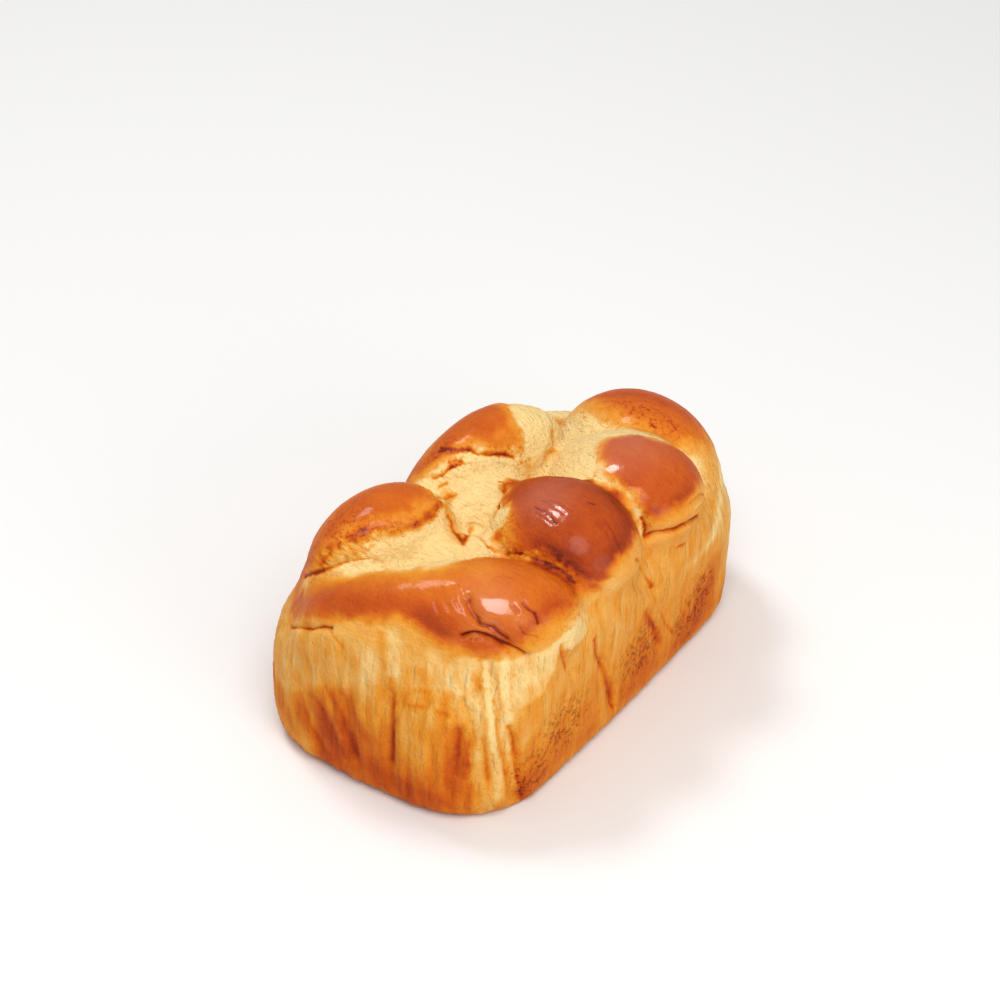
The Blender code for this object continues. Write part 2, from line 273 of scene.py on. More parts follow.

# %% Fine marks, in millimetres: a route, half width, depth and painted shade from 0 to 1
MARKS = {
    "near_left_crack": (((-36, -76, 48), (-24, -84, 59), (-20, -85, 61), (-15, -85, 65),
        (-11, -85, 66)), 0.7, 0.9, 0.7),
    "near_left_crack_end": (((-11, -85, 65), (-7, -86, 63), (-5, -86, 61)), 0.7, 0.3, 0.35),
    "tuck_crack": (((32, -70, 73), (34, -67, 74), (36, -66, 74), (38, -65, 73), (40, -64, 72),
        (43, -63, 70), (46, -61, 68), (48, -60, 67), (50, -58, 64)), 0.65, 1.4, 0.75),
    "tuck_curve": (((29, -62, 82), (31, -64, 80), (34, -64, 78), (36, -64, 76), (39, -62, 75),
        (42, -62, 73), (44, -61, 71)), 0.9, 1, 0.55),
    "tuck_curve_low": (((35, -65, 77), (38, -63, 75), (41, -63, 72)), 0.6, 0.4, 0.25),
    "tuck_wrinkle": (((44, -52, 81), (46, -52, 79), (48, -51, 78), (50, -52, 75)), 0.7, 0.7, 0.5),
    "tuck_wrinkle_short": (((42, -55, 81), (44, -55, 79)), 0.6, 0.5, 0.3),
    "tuck_wrinkle_low": (((46, -57, 75), (48, -57, 73), (51, -54, 71)), 0.6, 0.5, 0.3),
    "near_ray_1": (((18, -66, 83), (20, -68, 81), (23, -70, 79)), 0.6, 0.3, 0.07),
    "near_ray_2": (((20, -64, 84), (23, -67, 82), (26, -68, 80)), 0.6, 0.3, 0.07),
    "near_ray_3": (((23, -62, 84), (26, -65, 82), (29, -66, 80)), 0.6, 0.3, 0.09),
    "near_ray_4": (((26, -61, 84), (28, -63, 82), (32, -64, 80)), 0.6, 0.3, 0.09),
    "near_scratch": (((29, -51, 85), (33, -49, 85), (36, -47, 83)), 0.6, 0.3, 0.15),
    # The foot lines paint the shadow that crown B casts along its boundary with crown A.
    "left_first_foot": (((-36, -67, 64), (-30, -69, 70), (-26, -69, 73), (-22, -67, 75),
        (-19, -65, 77)), 1.1, 0.8, 0.75),
    "left_first_foot_thin": (((-11, -58, 77), (-7, -56, 76), (0, -60, 81),
        (3, -59, 82)), 0.7, 0.6, 0.55),
    "left_first_foot_mid": (((-19, -65, 77), (-15, -62, 78), (-11, -59, 78)), 0.7, 0.4, 0.45),
    "left_first_stroke_1": (((-30, -66, 75), (-25, -68, 75)), 0.7, 0.4, 0.35),
    "left_first_stroke_2": (((-27, -65, 78), (-22, -66, 76)), 0.7, 0.4, 0.35),
    "left_first_stroke_3": (((-24, -63, 80), (-19, -64, 77)), 0.7, 0.4, 0.35),
    "left_first_stroke_4": (((-21, -61, 81), (-16, -62, 78)), 0.7, 0.4, 0.3),
    "left_first_stroke_5": (((-17, -59, 81), (-14, -59, 78)), 0.7, 0.4, 0.25),
    # The notch and the crease under crown C are painted shade where the strands meet.
    "notch": (((-3, -27, 79), (-1, -27, 77), (4, -32, 79), (8, -35, 79), (6, -31, 78),
        (2, -22, 73)), 1.4, 0.6, 0.65),
    "crease_under_crown": (((2, -22, 73), (8, -26, 76), (14, -29, 77), (17, -29, 75),
        (21, -29, 75)), 1, 0.5, 0.7),
    "crease_under_crown_far": (((20, -29, 75), (27, -30, 79), (35, -30, 80), (43, -29, 79),
        (48, -28, 75)), 0.7, 0.3, 0.6),
    "crown_left_crack": (((2, -2, 80), (4, -6, 81), (5, -9, 81), (6, -12, 80),
        (7, -15, 80)), 0.8, 0.8, 0.6),
    "crown_corner": (((0, -3, 81), (1, -2, 80), (4, -2, 80)), 0.7, 0.5, 0.7),
    "seam_fleck": (((1, -15, 79), (2, -17, 77), (4, -17, 76)), 0.6, 0.4, 0.3),
    "crown_wrinkle_1": (((24, -17, 89), (29, -18, 90), (35, -20, 89)), 0.55, 0.28, 0.4),
    "crown_wrinkle_2": (((25, -14, 90), (30, -15, 91), (36, -16, 91)), 0.5, 0.19, 0.25),
    "crown_wrinkle_3": (((25, -19, 89), (30, -20, 89), (34, -21, 89)), 0.5, 0.19, 0.2),
    "crown_wrinkle_4": (((27, -13, 91), (32, -13, 92), (38, -14, 91)), 0.5, 0.17, 0.2),
    "crown_curve_1": (((46, -12, 89), (50, -12, 87), (52, -13, 85)), 0.6, 0.3, 0.15),
    "crown_curve_2": (((47, -9, 88), (52, -10, 86), (56, -12, 80)), 0.6, 0.35, 0.2),
    "crown_pits": (((39, -7, 91), (41, -6, 91)), 0.7, 0.3, 0.4),
    "left_second_rim": (((-23, -5, 85), (-17, -4, 87), (-14, -2, 87), (-10, -1, 86),
        (-7, 2, 85), (-4, 6, 84), (-2, 9, 82)), 0.7, 0.7, 0.5),
    "left_second_rim_mid": (((-17, -9, 84), (-15, -7, 85), (-12, -6, 84)), 0.6, 0.4, 0.5),
    "left_second_rim_low": (((-20, -15, 80), (-17, -13, 81), (-16, -11, 83), (-14, -9, 84),
        (-13, -7, 84)), 0.8, 0.5, 0.5),
    "left_second_foot": (((-16, -27, 86), (-14, -24, 84), (-16, -16, 79),
        (-14, -14, 80)), 1, 0.4, 0.5),
    "seam_line_1": (((-13, -12, 81), (-11, -10, 81), (-7, -9, 80)), 0.6, 0.3, 0.22),
    "seam_line_2": (((-10, -6, 82), (-7, -5, 82), (-5, -4, 81)), 0.6, 0.3, 0.22),
    "seam_line_3": (((-5, -22, 79), (-3, -18, 78), (0, -16, 78)), 0.6, 0.4, 0.35),
    # Painted shade in the notches between the crowns.
    "left_notch_shade": (((-9, -26, 84), (-12, -17, 78), (-10, -15, 78)), 1.5, 0.4, 0.4),
    "far_notch": (((0, 31, 80), (2, 29, 79)), 1.5, 0.8, 0.4),
    "far_notch_line": (((4, 26, 78), (4, 22, 77), (4, 18, 74)), 0.8, 0.5, 0.45),
    "far_notch_line_2": (((9, 23, 80), (13, 23, 83), (17, 25, 86)), 0.6, 0.3, 0.3),
    "third_left_edge": (((24, 21, 88), (25, 18, 87), (28, 14, 86)), 0.7, 0.3, 0.3),
    "right_split": (((49, 11, 77), (51, 11, 74), (51, 11, 69), (53, 14, 70), (57, 20, 69),
        (58, 24, 69), (58, 30, 67), (57, 40, 62)), 0.8, 1, 0.75),
    "right_split_low": (((54, 25, 58), (54, 29, 57)), 0.9, 0.4, 0.4),
    "third_ray_1": (((57, 41, 71), (57, 34, 76), (58, 27, 77)), 0.7, 0.4, 0.4),
    "third_ray_2": (((56, 46, 66), (57, 39, 71), (59, 29, 73)), 0.7, 0.4, 0.35),
    "far_pit_1": (((26, 52, 81), (28, 52, 81)), 0.9, 0.4, 0.5),
    "far_pit_2": (((30, 58, 80), (33, 57, 79)), 0.9, 0.4, 0.4),
    "right_upper": (((59, -6, 75), (53, 7, 60), (54, 8, 55), (55, 11, 49)), 1.1, 0.48, 0.5),
    "right_groove": (((56, -26, 52), (56, -25, 45), (54, -19, 34), (54, -16, 26), (54, -12, 16),
        (54, -11, 10)), 1.2, 0.48, 0.28),
    "right_groove_side": (((55, -19, 40), (55, -15, 30), (54, -12, 18)), 1.1, 0.32, 0.17),
    "right_far_groove": (((56, 6, 43), (55, 11, 34), (54, 15, 27)), 1.1, 0.48, 0.35),
    "right_far_groove_2": (((56, 16, 35), (55, 21, 25), (54, 27, 16)), 1.1, 0.4, 0.25),
    "right_near_groove": (((56, -47, 65), (56, -46, 60), (55, -42, 51)), 1.1, 0.4, 0.23),
    "right_top_groove": (((54, -23, 67), (55, -23, 61), (56, -23, 54)), 1.1, 0.32, 0.17),
    "right_top_groove_2": (((55, -33, 68), (55, -29, 61), (55, -29, 57)), 1.1, 0.32, 0.17),
    "right_end_groove": (((55, 41, 34), (54, 47, 23), (54, 52, 14)), 1.1, 0.32, 0.15),
    "corner_fold": (((50, -68, 41), (50, -66, 34), (50, -65, 25), (51, -64, 15),
        (50, -60, 2)), 1.2, 0.9, 0.28),
    "corner_rib_1": (((43, -65, 62), (47, -68, 52), (49, -69, 40), (49, -66, 25),
        (50, -63, 9)), 1.4, -0.9, 0),
    "corner_rib_2": (((41, -67, 63), (45, -70, 52), (48, -72, 40), (49, -70, 23),
        (49, -65, 6)), 1.1, 0.8, 0.17),
    "corner_rib_3": (((45, -77, 39), (46, -75, 25), (47, -73, 13)), 1.1, 0.7, 0.15),
    "near_middle": (((13, -84, 46), (15, -85, 39), (14, -86, 28), (13, -86, 16)), 1.2, 0.4, 0.25),
    "near_stripe_1": (((-24, -86, 28), (-22, -86, 21), (-19, -86, 15),
        (-16, -86, 10)), 1.6, 0.32, 0.2),
    "near_stripe_2": (((-19, -86, 34), (-14, -87, 28), (-9, -87, 19),
        (-5, -87, 12)), 1.8, 0.32, 0.2),
    "near_stripe_3": (((-12, -86, 38), (-7, -86, 32), (-3, -86, 21),
        (0, -86, 12)), 1.9, 0.32, 0.21),
    "near_stripe_4": (((-4, -86, 42), (-1, -86, 35), (1, -87, 26)), 1.5, 0.32, 0.17),
    "near_stripe_5": (((41, -79, 41), (42, -79, 35), (41, -79, 27)), 1.2, 0.32, 0.2),
    "near_stripe_6": (((38, -80, 41), (38, -81, 32), (37, -81, 22)), 1.2, 0.32, 0.2),
    "near_stripe_7": (((35, -83, 38), (35, -83, 27), (34, -83, 18)), 1.2, 0.24, 0.17),
    "near_left_line": (((-35, -80, 42), (-31, -83, 40), (-28, -85, 35)), 1.1, 0.32, 0.1),
    "near_soft_1": (((34, -71, 67), (35, -73, 58), (36, -76, 52)), 1.2, 0.32, 0.12),
    "near_soft_2": (((38, -69, 65), (39, -71, 58), (40, -74, 53)), 1.2, 0.32, 0.1),
    "near_soft_3": (((46, -63, 61), (48, -64, 54), (49, -68, 50)), 1.2, 0.32, 0.12),
}
print("folds:", len(FOLDS), "marks:", len(MARKS))

# %% [markdown]
# ## A finer net along the marks
# The routes are in whole millimetres, so each one is first laid on the nearest place of the
# skin in short steps. Then the base is cut flat, and only the long edges near a fine mark are
# subdivided. Dense faces everywhere would make the loaf heavy and show nothing more.

# %% Lay a route on the skin and measure the distance to it
ROUTE_STEP = 3.0


def route_distance(points, route):
    """The distance in millimetres from each point to a bent line."""
    nearest = np.full(len(points), np.inf)
    for start, end in zip(np.array(route, float), np.array(route, float)[1:]):
        run = end - start
        share = np.clip((points - start) @ run / (run @ run), 0.0, 1.0)
        nearest = np.minimum(nearest, np.linalg.norm(points - start - share[:, None] * run, axis=1))
    return nearest


def onto_skin(skin, route):
    """The route in short steps, each laid on the nearest place of the skin."""
    route = np.array(route, float)
    steps = []
    for start, end in zip(route, route[1:]):
        count = max(1, round(np.linalg.norm(end - start) / ROUTE_STEP))
        steps += [start + (end - start) * k / count for k in range(count)]
    steps.append(route[-1])
    return [tuple(skin.find_nearest(Vector(step) * MM)[0] / MM) for step in steps]


def positions(mesh):
    flat = np.empty(len(mesh.vertices) * 3)
    mesh.vertices.foreach_get("co", flat)
    return flat.reshape(-1, 3) / MM


def normals_of(mesh):
    flat = np.empty(len(mesh.vertices) * 3)
    mesh.vertices.foreach_get("normal", flat)
    return flat.reshape(-1, 3)


print("skin height in mm:", positions(loaf.data)[:, 2].max().round(1))

# %% Cut the base flat
BASE_TOLERANCE = 0.01
shape = bmesh.new()
shape.from_mesh(loaf.data)
everything = shape.verts[:] + shape.edges[:] + shape.faces[:]
base_cut = bmesh.ops.bisect_plane(
    shape,
    geom=everything,
    dist=BASE_TOLERANCE * MM,
    plane_co=(0.0, 0.0, 0.0),
    plane_no=(0.0, 0.0, 1.0),
    clear_inner=True,
)
rim = [piece for piece in base_cut["geom_cut"] if isinstance(piece, bmesh.types.BMEdge)]
bmesh.ops.edgeloop_fill(shape, edges=rim)
bmesh.ops.triangulate(shape, faces=shape.faces[:])
shape.to_mesh(loaf.data)
print("base rim:", len(rim), "edges")

# %% Subdivide the net along the fine marks
FINE_WITHIN = 1.6
LONGEST_FINE_EDGE = 0.8
places = positions(loaf.data)
skin = BVHTree.FromBMesh(shape)
marks = [(onto_skin(skin, route), *sizes) for route, *sizes in MARKS.values()]
folds = [(onto_skin(skin, route), *sizes) for route, *sizes in FOLDS.values()]
near_marks = np.min([route_distance(places, mark[0]) - mark[1] for mark in marks], axis=0)
shape.verts.ensure_lookup_table()
close = [
    edge
    for edge in shape.edges
    if min(near_marks[edge.verts[0].index], near_marks[edge.verts[1].index]) < FINE_WITHIN
    and edge.calc_length() > LONGEST_FINE_EDGE * MM
]
bmesh.ops.subdivide_edges(shape, edges=close, cuts=1, use_grid_fill=True)
bmesh.ops.triangulate(shape, faces=shape.faces[:])
bmesh.ops.recalc_face_normals(shape, faces=shape.faces)
shape.to_mesh(loaf.data)
shape.free()
print("net:", len(loaf.data.polygons), "triangles", round(time.time() - started, 1), "s")

# %% [markdown]
# ## Where the crust is brown
# Each crown browned in the oven above the tin. Its outline is a closed route of points that is
# laid on the loaf like a paper stencil, facing one direction. The signed distance to that
# outline says how deep inside the crown a point lies, so the colour can rise from a golden rim
# to a dark middle. Noise makes the rim uneven.

# %% Crown outlines, in millimetres: facing direction, outline, softness, rim width and toasting
CROWNS = {
    "near_cross": (
        (0.15, -0.6, 0.78),
        ((-43, -70, 50), (-34, -80, 54), (-25, -84, 60), (-8, -84, 70), (6, -80, 74), (12, -77, 76),
         (19, -76, 74), (23, -75, 71), (30, -73, 68), (38, -68, 65), (45, -63, 65), (48, -58, 66),
         (52, -51, 73), (55, -38, 73), (51, -28, 72), (46, -28, 78), (36, -30, 80), (27, -30, 79),
         (20, -29, 75), (18, -44, 84), (12, -53, 84), (0, -60, 81), (-20, -67, 75), (-35, -68, 63),
         (-44, -62, 52)),
        1.1, 3.8, 0.62),
    "left_first": (
        (-0.35, -0.1, 0.93),
        ((-36, -69, 64), (-30, -66, 76), (-27, -64, 79), (-24, -61, 82), (-19, -58, 84),
         (-15, -53, 84), (-12, -50, 84), (-9, -46, 83), (-6, -40, 83), (-5, -33, 83), (-5, -29, 82),
         (-8, -27, 85), (-12, -25, 85), (-18, -24, 84), (-26, -23, 80), (-36, -23, 72),
         (-46, -26, 62), (-51, -36, 57), (-52, -50, 56), (-49, -62, 56), (-43, -68, 58)),
        1.0, 6.0, 0.66),
    "right_second": (
        (0.35, -0.2, 0.9),
        ((-1, 2, 77), (5, 2, 81), (17, 3, 86), (28, 11, 85), (39, 12, 85), (48, 10, 80),
         (51, 9, 76), (56, -6, 78), (57, -15, 77), (56, -23, 73), (50, -27, 73), (46, -28, 78),
         (35, -29, 80), (27, -30, 79), (20, -29, 75), (12, -26, 73), (12, -22, 79),
         (12, -17, 82), (7, -14, 82), (5, -8, 80)),
        1.0, 3.0, 0.8),
    "left_second": (
        (-0.35, 0.0, 0.93),
        ((-24, -16, 79), (-20, -13, 81), (-16, -9, 84), (-15, -7, 85), (-14, -3, 87), (-10, 0, 86),
         (-5, 5, 85), (-2, 9, 82), (0, 12, 81), (-1, 14, 83), (-4, 16, 87), (-8, 19, 90),
         (-14, 23, 90), (-22, 27, 88), (-32, 30, 80), (-42, 30, 68), (-50, 22, 58), (-53, 5, 56),
         (-50, -10, 58), (-42, -20, 62), (-32, -20, 72)),
        1.2, 6.0, 0.66),
    "right_third": (
        (0.35, 0.0, 0.93),
        ((21, 27, 88), (28, 36, 88), (37, 41, 87), (45, 46, 80), (50, 48, 74), (56, 40, 74),
         (58, 30, 76), (57, 22, 76), (54, 13, 75), (50, 10, 76), (46, 12, 83), (39, 12, 85),
         (32, 12, 86), (26, 16, 87)),
        1.3, 4.0, 0.72),
    "far_cross": (
        (0.1, 0.35, 0.93),
        ((-8, 50, 70), (2, 49, 77), (10, 47, 80), (20, 46, 82), (28, 46, 83), (36, 48, 82),
         (42, 54, 76), (46, 60, 70), (45, 70, 62), (36, 79, 60), (20, 84, 60), (0, 85, 60),
         (-18, 82, 60), (-32, 74, 60), (-38, 64, 60), (-34, 55, 62), (-22, 51, 66)),
        2.0, 8.0, 0.64),
}
print("crowns:", len(CROWNS))

# %% [markdown]
# ## Helpers for many points at once
# Each helper takes all points of the loaf in one array, which is far quicker than a loop. The
# stencil counts how often a line from the point crosses the outline: an odd number is inside.

# %% Steps, curves and stencils
STENCIL_WRAP = -0.15  # how far round the loaf a stencil still marks
TINY = 1e-9


def smooth_step(low, high, value):
    share = np.clip((value - low) / (high - low), 0.0, 1.0)
    return share * share * (3 - 2 * share)


def rounded(ring, steps=5):
    """A closed route with points added, so that it runs in smooth curves."""
    ring = np.array(ring, float)
    before, after, beyond = [np.roll(ring, shift, axis=0) for shift in (1, -1, -2)]
    pieces = []
    for t in np.arange(steps) / steps:
        pieces.append(
            0.5 * (2 * ring + (after - before) * t
                   + (2 * before - 5 * ring + 4 * after - beyond) * t**2
                   + (3 * ring - before - 3 * after + beyond) * t**3)
        )
    return np.stack(pieces, axis=1).reshape(-1, 3)


def stencil(points, normals, facing, outline, above=40.0):
    """The distance inside an outline in millimetres, negative outside, behind and below."""
    facing = np.array(facing) / np.linalg.norm(facing)
    across = np.cross(facing, (0.0, 1.0, 0.0))
    across /= np.linalg.norm(across)
    axes = np.stack([across, np.cross(facing, across)], axis=1)
    flat, ring = points @ axes, rounded(outline) @ axes
    inside = np.zeros(len(flat), bool)
    nearest = np.full(len(flat), np.inf)
    for start, end in zip(ring, np.roll(ring, -1, axis=0)):
        run = end - start
        share = np.clip((flat - start) @ run / max(run @ run, TINY), 0.0, 1.0)
        nearest = np.minimum(nearest, np.linalg.norm(flat - start - share[:, None] * run, axis=1))
        crosses = (start[1] > flat[:, 1]) != (end[1] > flat[:, 1])
        if abs(run[1]) > TINY:
            inside ^= crosses & (flat[:, 0] < start[0] + run[0] * (flat[:, 1] - start[1]) / run[1])
    faces_it = (normals @ facing > STENCIL_WRAP) & (points[:, 2] > above)
    return np.where(inside & faces_it, nearest, -nearest)


def patch(centre, reach):
    """1 in the centre of a soft round patch, and nearly 0 outside its reach."""
    return np.exp(-np.sum(((places - centre) / np.array(reach, float)) ** 2, axis=1))


def line(points, route, half_width):
    """1 on a route, and nearly 0 beyond its half width."""
    return np.exp(-((route_distance(points, route) / half_width) ** 2))


places = positions(loaf.data)
normals = normals_of(loaf.data)
print("points:", len(places))


# %% Noise of four sizes
def bumps(points, size, seed, depth=1):
    """Smooth noise from about -1 to 1 whose bumps are this many millimetres apart."""
    offset = Vector((seed * 17.3, seed * 5.9, seed * 11.1))
    values = [noise.fractal(Vector(p) / size + offset, 1.0, 2.0, depth) for p in points]
    return np.array(values)


ragged = bumps(places, 5.0, 1, 3)
fine_ragged = bumps(places, 1.8, 2, 2)
broad = bumps(places, 22.0, 3, 2)
middle = bumps(places, 8.0, 4, 3)
wobble = np.stack([ragged, fine_ragged, middle], axis=1)
print("noise:", round(time.time() - started, 1), "s")

# %% Fibres: upright on the sides, and along the plait on top
STRETCH = 0.16  # points are squeezed to this share, so the bumps get six times longer
TOP_TURN = -0.26  # radians by which the fibres on top turn away from the X axis
TOP_FROM = (60, 70)  # heights where the sides end and the top begins


def pulled(points):
    """The points squeezed along the fibres of the sides, and along those of the top."""
    turned = np.stack([
        points[:, 0] * math.cos(TOP_TURN) + points[:, 1] * math.sin(TOP_TURN),
        points[:, 1] * math.cos(TOP_TURN) - points[:, 0] * math.sin(TOP_TURN),
        points[:, 2],
    ], axis=1)
    return points * (1.0, 1.0, STRETCH), turned * (STRETCH, 1.0, 1.0)


on_top = smooth_step(*TOP_FROM, places[:, 2])
side_fibres, top_fibres = pulled(places)
fibres, wide_fibres = [
    bumps(side_fibres, width, seed, 2) * (1 - on_top) + bumps(top_fibres, width, seed, 2) * on_top
    for width, seed in ((1.9, 5), (4.0, 6))
]
print("fibres:", round(time.time() - started, 1), "s")

# %% [markdown]
# ## How long each place baked, and painted shade
# One number drives the colour: 0 is raw-looking cream dough and 1 is almost burnt. The sides
# start tan. The seams on top stay near 0. The crowns go from their golden rim up to their own
# toasting. Then soft dabs, like dabs of a brush, lighten and darken single places, and a few
# strokes darken notches and grooves as painted shade.

# %% Dabs, in millimetres: centre, reach along X, Y and Z, and how much more or less it baked
DABS = (
    ((-14, -69, 78), (14, 7, 7), -0.10),
    ((4, -62, 82), (13, 6, 5), -0.16),
    ((22, -52, 88), (9, 9, 5), -0.12),
    ((26, -73, 73), (10, 9, 7), 0.06),
    ((37, -66, 68), (8, 7, 6), 0.04),
    ((-6, -82, 78), (16, 6, 5), 0.04),
    ((54, -37, 71), (6, 9, 7), -0.06),
    ((-34, -80, 60), (9, 9, 9), -0.14),
    ((40, -29, 81), (13, 5, 6), 0.20),
    ((22, -27, 80), (7, 4, 5), -0.22),
    ((15, -21, 82), (6, 5, 4), -0.55),
    ((59, -3, 74), (5, 10, 7), -0.02),
    ((57, -20, 70), (5, 7, 6), -0.06),
    ((42, 10, 84), (10, 5, 5), 0.06),
    ((55, 38, 80), (5, 7, 6), -0.04),
    ((29, 15, 87), (5, 5, 5), -0.14),
    ((24, 52, 82), (20, 7, 6), -0.05),
    ((42, 60, 74), (7, 9, 8), -0.04),
    ((-8, 58, 74), (9, 9, 8), -0.12),
    ((12, 70, 80), (26, 9, 9), 0.06),
    ((-22, 62, 62), (16, 13, 9), -0.34),
    ((-16, 58, 68), (10, 8, 8), -0.2),
    ((-38, -52, 74), (10, 16, 10), 0.04),
    ((-11, -87, 15), (11, 9, 18), 0.20),
    ((18, -86, 8), (15, 9, 9), 0.16),
    ((38, -81, 29), (5, 6, 18), 0.12),
    ((20, -85, 34), (9, 8, 14), 0.04),
    ((55, -58, 12), (7, 10, 13), 0.06),
    ((55, -38, 16), (7, 16, 11), 0.07),
    ((55, 3, 22), (7, 10, 15), 0.09),
    ((55, 35, 14), (7, 16, 12), 0.1),
    ((54, 50, 24), (7, 10, 14), 0.08),
    ((51, 66, 40), (9, 10, 30), -0.14),
    ((-55, -40, 16), (8, 22, 12), 0.2),
    ((-55, 12, 18), (8, 20, 14), 0.18),
    ((-54, 50, 14), (8, 18, 12), 0.22),
    ((-12, 87, 14), (20, 8, 12), 0.3),
    ((26, 86, 24), (12, 8, 22), 0.2),
    ((-40, 74, 40), (12, 12, 30), -0.1),
)
print("dabs:", len(DABS))
